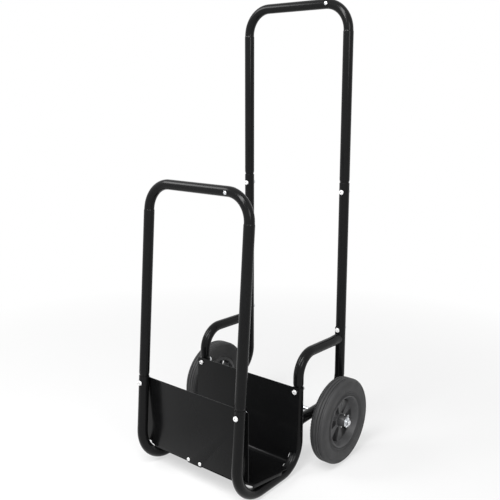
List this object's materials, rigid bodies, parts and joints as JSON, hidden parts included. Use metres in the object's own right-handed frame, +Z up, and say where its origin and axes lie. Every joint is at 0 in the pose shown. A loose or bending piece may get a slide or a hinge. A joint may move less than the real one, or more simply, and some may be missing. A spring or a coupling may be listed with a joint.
{
  "type": "fireside log cart",
  "caption": "Two-wheeled steel cart with a low front handle, a tall rear handle and a folded sheet cradle that carries and stores firewood beside a stove.",
  "frame": {"origin": "centre of the bounding box at floor level", "axes": "+Z up; -Y towards the low front handle; +Y towards the tall rear handle; +X towards the right wheel, seen from the front handle looking back"},
  "size_m": [0.4404, 0.4211, 1.055],
  "materials": {
    "black_coat": "semi-gloss black powder coat",
    "bright_zinc": "bright zinc plate",
    "tyre_rubber": "dull grey-black rubber",
    "wheel_plastic": "satin black moulded plastic"
  },
  "bodies": {
    "frame": {"arm_bolt_left": "bright_zinc", "arm_bolt_right": "bright_zinc", "arm_nut_left": "bright_zinc", "arm_nut_right": "bright_zinc", "axle": "bright_zinc", "back_bolt_left": "bright_zinc", "back_bolt_right": "bright_zinc", "back_nut_left": "bright_zinc", "back_nut_right": "bright_zinc", "floor_back_panel": "black_coat", "front_bar_screw": "bright_zinc", "front_bolt_left": "bright_zinc", "front_bolt_right": "bright_zinc", "front_handle": "black_coat", "front_nut_left": "bright_zinc", "front_nut_right": "bright_zinc", "front_panel": "black_coat", "handle_bolt_left": "bright_zinc", "handle_bolt_right": "bright_zinc", "handle_nut_left": "bright_zinc", "handle_nut_right": "bright_zinc", "inner_washer_left": "bright_zinc", "inner_washer_right": "bright_zinc", "outer_washer_left": "bright_zinc", "outer_washer_right": "bright_zinc", "panel_nut_left": "bright_zinc", "panel_nut_right": "bright_zinc", "panel_screw_left": "bright_zinc", "panel_screw_right": "bright_zinc", "rear_arm_left": "black_coat", "rear_arm_right": "black_coat", "rear_bar_screw": "bright_zinc", "rear_handle": "black_coat", "rear_post_left": "black_coat", "rear_post_right": "black_coat", "side_frame_left": "black_coat", "side_frame_right": "black_coat", "split_pin_left": "bright_zinc", "split_pin_right": "bright_zinc"},
    "wheel_left": {"tyre_left": "tyre_rubber", "wheel_rim_left": "wheel_plastic"},
    "wheel_right": {"tyre_right": "tyre_rubber", "wheel_rim_right": "wheel_plastic"}
  },
  "joints": [
    {"name": "wheel_left_spin", "type": "hinge", "parent": "frame", "child": "wheel_left", "pos_m": [-0.192, 0.1107, 0.1], "axis": [1, 0, 0], "continuous": true},
    {"name": "wheel_right_spin", "type": "hinge", "parent": "frame", "child": "wheel_right", "pos_m": [0.192, 0.1107, 0.1], "axis": [1, 0, 0], "continuous": true}
  ]
}
